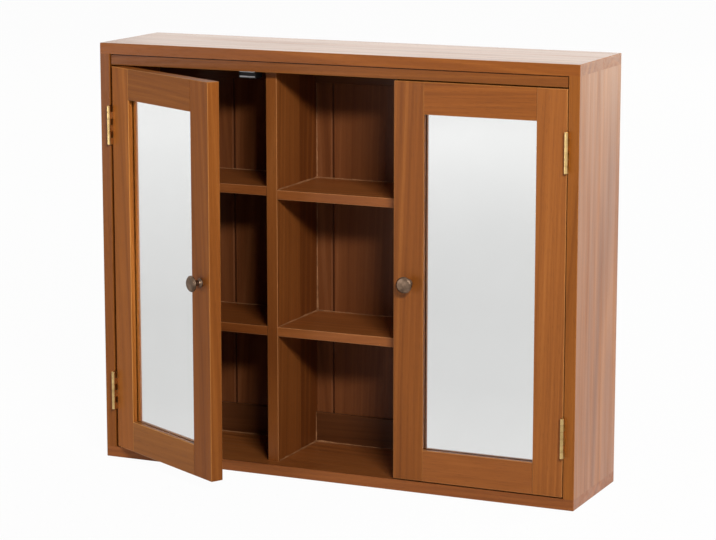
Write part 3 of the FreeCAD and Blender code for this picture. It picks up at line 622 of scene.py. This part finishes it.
def metal_material(name, dark, light, rough, scale, grit_height):
    """Make a metal with clouded colour and roughness and a fine grit."""
    made, tree, surface = new_material(name)
    stops = ((0.35, dark), (0.65, light))
    coordinates, _ = clouded(tree, surface, scale, 4.0, 0.6, stops, rough)
    grit = add_node(tree, "ShaderNodeTexNoise", {"Scale": scale * GRIT_FINER, "Detail": 2.0})
    tree.links.new(coordinates, grit.inputs["Vector"])
    bumped(tree, surface, grit.outputs["Fac"], GRIT_STRENGTH, grit_height)
    surface.inputs["Metallic"].default_value = 1.0
    return made


brass = metal_material(
    "hinge_brass", dark=(0.50, 0.33, 0.13), light=(0.69, 0.48, 0.21),
    rough=(0.22, 0.38), scale=90.0, grit_height=0.006 * MM,
)
bronze = metal_material(
    "knob_bronze", dark=(0.096, 0.060, 0.039), light=(0.222, 0.146, 0.099),
    rough=(0.30, 0.46), scale=120.0, grit_height=0.02 * MM,
)
zinc = metal_material(
    "zinc_steel", dark=(0.74, 0.75, 0.76), light=(0.90, 0.91, 0.92),
    rough=(0.52, 0.68), scale=220.0, grit_height=0.02 * MM,
)
print("metals:", brass.name, bronze.name, zinc.name)

# %% [markdown]
# The rest is matt: hardboard behind the mirrors, the catch's plastic case and ferrite magnet, and
# the raw beech of the dowels. They are hidden most of the time, and flat colours might do. But an
# open door shows some, so each gets a mottled colour and a fine texture from one noise.

# %% Matt parts
TEXTURE_STRENGTH = 0.4


def matt_material(name, dark, light, rough, scale, texture_height):
    """Make a matt surface with mottled colour and a fine texture."""
    made, tree, surface = new_material(name)
    stops = ((0.3, dark), (0.7, light))
    _, mottle = clouded(tree, surface, scale, 5.0, 0.65, stops, rough)
    bumped(tree, surface, mottle, TEXTURE_STRENGTH, texture_height)
    return made


hardboard = matt_material(
    "hardboard", dark=(0.085, 0.042, 0.020), light=(0.150, 0.082, 0.042),
    rough=(0.66, 0.78), scale=420.0, texture_height=0.2 * MM,
)
catch_plastic = matt_material(
    "catch_plastic", dark=(0.006, 0.005, 0.005), light=(0.014, 0.012, 0.011),
    rough=(0.74, 0.86), scale=600.0, texture_height=0.04 * MM,
)
ferrite = matt_material(
    "magnet_ferrite", dark=(0.010, 0.010, 0.011), light=(0.022, 0.022, 0.023),
    rough=(0.49, 0.61), scale=500.0, texture_height=0.06 * MM,
)
beech = matt_material(
    "dowel_beech", dark=(0.46, 0.30, 0.16), light=(0.60, 0.43, 0.25),
    rough=(0.54, 0.66), scale=300.0, texture_height=0.1 * MM,
)
print("matt:", hardboard.name, catch_plastic.name, ferrite.name, beech.name)

# %% Dress the small parts
SMALL_PARTS = {
    "brass": brass,
    "bronze": bronze,
    "zinc_steel": zinc,
    "backing_board": hardboard,
    "catch_plastic": catch_plastic,
    "magnet": ferrite,
    "dowel_wood": beech,
}
for node, slot in slot_of.items():
    if slot in SMALL_PARTS:
        dress(node, SMALL_PARTS[slot])
print("small parts dressed:", sum(slot in SMALL_PARTS for slot in slot_of.values()))

# %% [markdown]
# A mirror is a pane of glass with silver on its back. Seen at an angle, the frame's inner edge, a
# dark line and the edge's reflection lie side by side, because the light crosses the glass twice.
# A plain shiny plate can't show that, so the pane is built as it is: clear glass with eased edges
# and, close behind it, a plate of silver and backing paint. Together they are as thick as the solid
# pane that they stand for.

# %% Mirror glass and silver
FILM = {"Scale": 14.0, "Detail": 6.0, "Roughness": 0.7}
SMEAR = 0.02
GLASS_TINT, GLASS_INDEX = (0.990, 0.993, 0.990, 1.0), 1.5


def glass_material():
    """Make clear float glass with a faint film of wiping marks."""
    made, tree, surface = new_material("mirror_glass")
    coordinates = add_node(tree, "ShaderNodeTexCoord")
    film = add_node(tree, "ShaderNodeTexNoise", FILM)
    tree.links.new(coordinates.outputs["Object"], film.inputs["Vector"])
    smear = to_range(tree, film.outputs["Fac"], end=SMEAR)
    tree.links.new(smear, surface.inputs["Roughness"])
    surface.inputs["Base Color"].default_value = GLASS_TINT
    surface.inputs["Transmission Weight"].default_value = 1.0
    surface.inputs["IOR"].default_value = GLASS_INDEX
    return made


mirror_glass = glass_material()
mirror_silver = metal_material(
    "mirror_silver", dark=(0.93, 0.93, 0.93), light=(0.95, 0.95, 0.95),
    rough=(0.0, 0.03), scale=9.0, grit_height=0.0,
)
print("mirror:", mirror_glass.name, "over", mirror_silver.name)

# %% A pane with eased edges
EASE_STEPS = 2


def pane(name, low, high, place, ease):
    """Make a pane between two corners of a door's own frame, with eased edges."""
    mesh = bpy.data.meshes.new(name)
    shape = bmesh.new()
    bmesh.ops.create_cube(shape, size=1.0)
    middle = (low + high) / 2
    for vertex in shape.verts:
        vertex.co = Vector(a * b for a, b in zip(vertex.co, high - low)) + middle
    if ease:
        edges = shape.edges[:]
        bmesh.ops.bevel(shape, geom=edges, offset=ease, segments=EASE_STEPS, affect="EDGES")
    bmesh.ops.recalc_face_normals(shape, faces=shape.faces[:])
    shape.to_mesh(mesh)
    shape.free()
    mesh.transform(place)
    piece = bpy.data.objects.new(name, mesh)
    bpy.context.scene.collection.objects.link(piece)
    return piece


print("panes are eased in", EASE_STEPS, "steps")

# %% Cut the panes
SILVER_THICK = 1.2 * MM
SILVER_GAP = 0.02 * MM
GLASS_EASE = 0.4 * MM

for hand, door in doors.items():
    solid = nodes[f"{hand}_mirror"]
    inside = door["place"].inverted()
    corners = [inside @ vertex.co for vertex in solid.data.vertices]
    low = Vector(min(corner[axis] for corner in corners) for axis in range(3))
    high = Vector(max(corner[axis] for corner in corners) for axis in range(3))
    silver_low = Vector((low.x, high.y - SILVER_THICK, low.z))
    glass_high = Vector((high.x, silver_low.y - SILVER_GAP, high.z))
    glass = pane(f"{hand}_mirror_glass", low, glass_high, door["place"], GLASS_EASE)
    silver = pane(f"{hand}_mirror_silver", silver_low, high, door["place"], 0.0)
    for piece, material in ((glass, mirror_glass), (silver, mirror_silver)):
        piece.data.materials.append(material)
        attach(piece, f"{hand}_door")
    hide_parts(f"{hand}_mirror")
    print(hand, "pane", [round((b - a) / MM, 1) for a, b in zip(low, high)], "mm")

# %% [markdown]
# Where shelves, dividers and back meet, the lacquer has run together with a little glue and dried
# as a thin light line. It is a hand's work, so its width wanders. It gathers in the rear corners
# and thins out between them and up the joints. A line in the material would stay flat, so each run
# is swept along its corner as a narrow strip with a hollow face.

# %% Sweep a lacquer run
RUN_LEG = 1.2 * MM
RUN_STEP = 9.0 * MM
RUN_WANDER = (0.55, 1.25)
RUN_HOLLOW = 0.30
RUN_TUCK = 0.1


def lacquer_run(shape, start, end, first, second, thickness):
    """Sweep a hollow strip; its thickness is given at the start, halfway and at the end."""
    steps = max(2, round((end - start).length / RUN_STEP))
    rings = []
    for number in range(steps + 1):
        along = 2.0 * number / steps
        spot = start.lerp(end, along / 2.0)
        here = thickness[0] + (thickness[1] - thickness[0]) * min(along, 1.0)
        here += (thickness[2] - thickness[1]) * max(along - 1.0, 0.0)
        leg = RUN_LEG * here * draw.uniform(*RUN_WANDER)
        other = RUN_LEG * here * draw.uniform(*RUN_WANDER)
        hollow = spot + RUN_HOLLOW * (leg * first + other * second)
        back = spot - RUN_TUCK * RUN_LEG * (first + second)
        corners = (spot + leg * first, hollow, spot + other * second, back)
        rings.append([shape.verts.new(corner) for corner in corners])
    for near, far in zip(rings, rings[1:]):
        for number in range(4):
            following = (number + 1) % 4
            shape.faces.new((near[number], near[following], far[following], far[number]))
    for ring in (rings[0], rings[-1]):
        shape.faces.new(ring)


print("lacquer runs", [round(RUN_LEG * share / MM, 2) for share in RUN_WANDER], "mm wide")

# %% Lacquer runs in the inner corners
# how thick a run is at its start, halfway and at its end
ALONG_BACK = (1.5, 0.7, 1.5)
ALONG_SIDE = (0.8, 1.0, 1.5)
UP_JOINT = (1.4, 0.75, 0.35)
MOUTH = 4.0 * MM
LEFTWARD, RIGHTWARD = Vector((-1, 0, 0)), Vector((1, 0, 0))
FORWARD, UPWARD = Vector((0, -1, 0)), Vector((0, 0, 1))
run_shape = bmesh.new()
back_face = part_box("back_board_3")[0].y
rail_low, rail_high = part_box("lower_rear_rail")
bays = {
    "left": (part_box("left_side")[1].x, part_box("left_divider")[0].x),
    "middle": (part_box("left_divider")[1].x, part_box("right_divider")[0].x),
    "right": (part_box("right_divider")[1].x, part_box("right_side")[0].x),
}
for bay, (left, right) in bays.items():
    lower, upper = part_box(f"{bay}_lower_shelf"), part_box(f"{bay}_upper_shelf")
    front = lower[0].y + MOUTH
    levels = (
        (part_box("bottom_board")[1].z, rail_low.y, rail_high.z),
        (lower[1].z, back_face, upper[0].z),
        (upper[1].z, back_face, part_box("hanging_rail")[0].z),
    )
    for floor_z, wall_y, head_z in levels:
        corners = Vector((left, wall_y, floor_z)), Vector((right, wall_y, floor_z))
        lacquer_run(run_shape, *corners, FORWARD, UPWARD, ALONG_BACK)
        for corner, inward in zip(corners, (RIGHTWARD, LEFTWARD)):
            mouth = Vector((corner.x, front, floor_z))
            head = Vector((corner.x, wall_y, head_z))
            lacquer_run(run_shape, mouth, corner, inward, UPWARD, ALONG_SIDE)
            lacquer_run(run_shape, corner, head, inward, FORWARD, UP_JOINT)
bmesh.ops.recalc_face_normals(run_shape, faces=run_shape.faces[:])
run_mesh = bpy.data.meshes.new("lacquer_runs")
run_shape.to_mesh(run_mesh)
run_shape.free()
print("lacquer runs:", len(run_mesh.polygons), "faces")

# %% Dried lacquer
DRIED_INDEX = 1.35
dried_lacquer = matt_material(
    "lacquer_run", dark=(0.15, 0.062, 0.025), light=(0.38, 0.18, 0.080),
    rough=(0.36, 0.48), scale=60.0, texture_height=0.2 * MM,
)
dried_lacquer.node_tree.nodes["Principled BSDF"].inputs["IOR"].default_value = DRIED_INDEX
run_mesh.materials.append(dried_lacquer)
lacquer_runs = bpy.data.objects.new("lacquer_runs", run_mesh)
bpy.context.scene.collection.objects.link(lacquer_runs)
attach(lacquer_runs, "cabinet")
print("lacquer runs ride on the cabinet")

# %% [markdown]
# The photograph is a cut-out on white. A lamp strong enough to burn a grey floor out to white would
# burn the wood as well. So rays from the camera see the pale floor almost white by itself, with a
# faint shadow left in it. Mirrors and metal see the floor glow with painted shade, a little greyer
# near the cabinet, which gives the mirrors their soft gradient.

# %% The floor's paint
FLOOR_PAINT = (0.86, 0.86, 0.86, 1.0)
FLOOR_REACH = 5.0
# the floor's glow in mirrors by distance, as painted shade greyer near the cabinet
FLOOR_PAINTED_SHADE = ((0.05, 0.86), (0.14, 0.77), (0.26, 0.78), (0.70, 1.05))
WHITE_TO_CAMERA, WHITE_TO_MIRRORS = 0.97, 0.85


def floor_material():
    """Make a pale floor that the camera sees as white, and that mirrors see glowing in painted shade."""
    made, tree, surface = new_material("white_floor")
    tree.nodes.remove(surface)
    path = add_node(tree, "ShaderNodeLightPath").outputs
    coordinates = add_node(tree, "ShaderNodeTexCoord")
    away = add_node(tree, "ShaderNodeVectorMath", operation="LENGTH")
    tree.links.new(coordinates.outputs["Object"], away.inputs[0])
    reach = to_range(tree, away.outputs["Value"], high=FLOOR_REACH)
    painted_floor_shade = colour_ramp(tree, reach, [(place, (grey,) * 3) for place, grey in FLOOR_PAINTED_SHADE])
    paint = add_node(tree, "ShaderNodeBsdfDiffuse", {"Color": FLOOR_PAINT})
    seen = add_node(tree, "ShaderNodeEmission", {"Color": (1.0, 1.0, 1.0, 1.0), "Strength": 1.0})
    # the glow that mirrors see, painted in greys for the floor's shade
    mirrored = add_node(tree, "ShaderNodeEmission", {"Strength": 1.0})
    through = arithmetic(tree, "MAXIMUM", path["Is Glossy Ray"], path["Is Transmission Ray"])
    in_mirror = add_node(tree, "ShaderNodeMixShader")
    to_camera = add_node(tree, "ShaderNodeMixShader")
    wire(
        tree,
        (painted_floor_shade, mirrored.inputs["Color"]),
        (arithmetic(tree, "MULTIPLY", through, WHITE_TO_MIRRORS), in_mirror.inputs["Fac"]),
        (paint.outputs["BSDF"], in_mirror.inputs[1]),
        (mirrored.outputs["Emission"], in_mirror.inputs[2]),
        (
            arithmetic(tree, "MULTIPLY", path["Is Camera Ray"], WHITE_TO_CAMERA),
            to_camera.inputs["Fac"],
        ),
        (in_mirror.outputs["Shader"], to_camera.inputs[1]),
        (seen.outputs["Emission"], to_camera.inputs[2]),
        (to_camera.outputs["Shader"], tree.nodes["Material Output"].inputs["Surface"]),
    )
    return made


print("floor paint", FLOOR_PAINT[0], "seen as white by", WHITE_TO_CAMERA)

# %% White floor
FLOOR_DROP = 0.2 * MM
FLOOR_HALF = 20.0
FLOOR_SQUARES = 8

floor_mesh = bpy.data.meshes.new("floor")
floor_shape = bmesh.new()
bmesh.ops.create_grid(
    floor_shape, x_segments=FLOOR_SQUARES, y_segments=FLOOR_SQUARES, size=FLOOR_HALF
)
floor_shape.to_mesh(floor_mesh)
floor_shape.free()
floor = bpy.data.objects.new("floor", floor_mesh)
floor.location.z = cad_box[0][2] - FLOOR_DROP
floor_mesh.materials.append(floor_material())
bpy.context.scene.collection.objects.link(floor)
print("floor at", round(floor.location.z, 4))

# %% [markdown]
# A white studio lights an object from all round. A white world would do the same, but it would also
# fill the bays with light, and in the photograph they are dark. So the world is white only to the
# camera and to mirrors, metal and glass. To everything else it is dim.

# %% World
DIM, WHITE = 0.08, 1.0
world = bpy.data.worlds.new("white_studio")
bpy.context.scene.world = world
world.use_nodes = True
world_tree = world.node_tree
backdrop = world_tree.nodes["Background"]
backdrop.inputs["Color"].default_value = (1.0, 1.0, 1.0, 1.0)
ray = add_node(world_tree, "ShaderNodeLightPath").outputs
direct = arithmetic(world_tree, "MAXIMUM", ray["Is Camera Ray"], ray["Is Glossy Ray"])
direct = arithmetic(world_tree, "MAXIMUM", direct, ray["Is Transmission Ray"])
world_level = to_range(world_tree, direct, start=DIM, end=WHITE)
world_tree.links.new(world_level, backdrop.inputs["Strength"])
print("world from", DIM, "to", WHITE)

# %% [markdown]
# The light in the photograph comes from the front, a little from the right and from above: the
# shelves throw their shadows down the backs, and the dividers throw theirs to the left. One soft
# box, the key, does that, and a weaker one on the left fills the open door, which turns away from
# it. A wide one behind on the right lights the right side. In some views the lacquer would mirror
# the key and the wide one as white patches, so their glare is left off, and a lamp in the key's
# place gives its glints to the metal alone. The last two graze the lacquer: a low strip far behind
# makes the side's sheen, and a box above the back makes the top's.

# %% Soft boxes
MIDDLE = Vector((0.0, -0.08, -0.24))


def around(azimuth, elevation, distance):
    """Give a place round the cabinet: azimuth 0 is straight in front, 90 on the right."""
    a, e = math.radians(azimuth), math.radians(elevation)
    way = Vector((math.sin(a) * math.cos(e), -math.cos(a) * math.cos(e), math.sin(e)))
    return MIDDLE + distance * way


def soft_box(name, place, size, watts, aim=MIDDLE, spread=180.0, tint=(1.0, 1.0, 1.0), glare=True):
    """Hang a soft box that faces a point; a narrow spread makes it fall off round that point."""
    lamp = bpy.data.lights.new(name, "AREA")
    lamp.shape = "RECTANGLE"
    lamp.size, lamp.size_y = size
    lamp.energy = watts
    lamp.color = tint
    lamp.spread = math.radians(spread)
    holder = bpy.data.objects.new(name, lamp)
    holder.location = place
    holder.rotation_mode = "QUATERNION"
    holder.rotation_quaternion = (aim - place).to_track_quat("-Z", "Y")
    holder.visible_glossy = glare
    bpy.context.scene.collection.objects.link(holder)
    print(name, [round(v, 2) for v in place], watts, "W")
    return holder


print("soft boxes face", [round(v, 2) for v in MIDDLE])

# %% Hang the key and its glint
KEY = {
    "place": around(37.0, 26.4, 2.79),
    "size": (0.73, 0.24),
    "watts": 17.5,
    "aim": Vector((0.1, -0.1, 0.25)),
    "spread": 90.0,
}
GLINT_WORDS = ("knob", "leaf", "pins")

soft_box("key_light", **KEY, glare=False)
glint_light = soft_box("glint_light", **KEY)
metal_pieces = bpy.data.collections.new("metal_pieces")
for node, piece in nodes.items():
    if any(word in node for word in GLINT_WORDS):
        metal_pieces.objects.link(piece)
glint_light.light_linking.receiver_collection = metal_pieces

# %% Hang the fill, the side light and the two that graze
WARM, WARMER, WARMEST = (1.0, 1.0, 0.88), (1.0, 1.0, 0.80), (1.0, 0.955, 0.84)

soft_box("fill_light", around(-38.0, 3.0, 3.5), size=(1.4, 0.7), watts=27.0)
soft_box(
    "side_light", around(140.0, 10.4, 9.0), size=(7.5, 3.3), watts=850.0, tint=WARM, glare=False
)
soft_box("rim_light", around(150.0, 0.0, 18.0), size=(15.0, 0.50), watts=350.0, tint=WARMER)
soft_box("top_light", around(194.0, 24.0, 5.0), size=(3.4, 3.4), watts=30.5, tint=WARMEST)
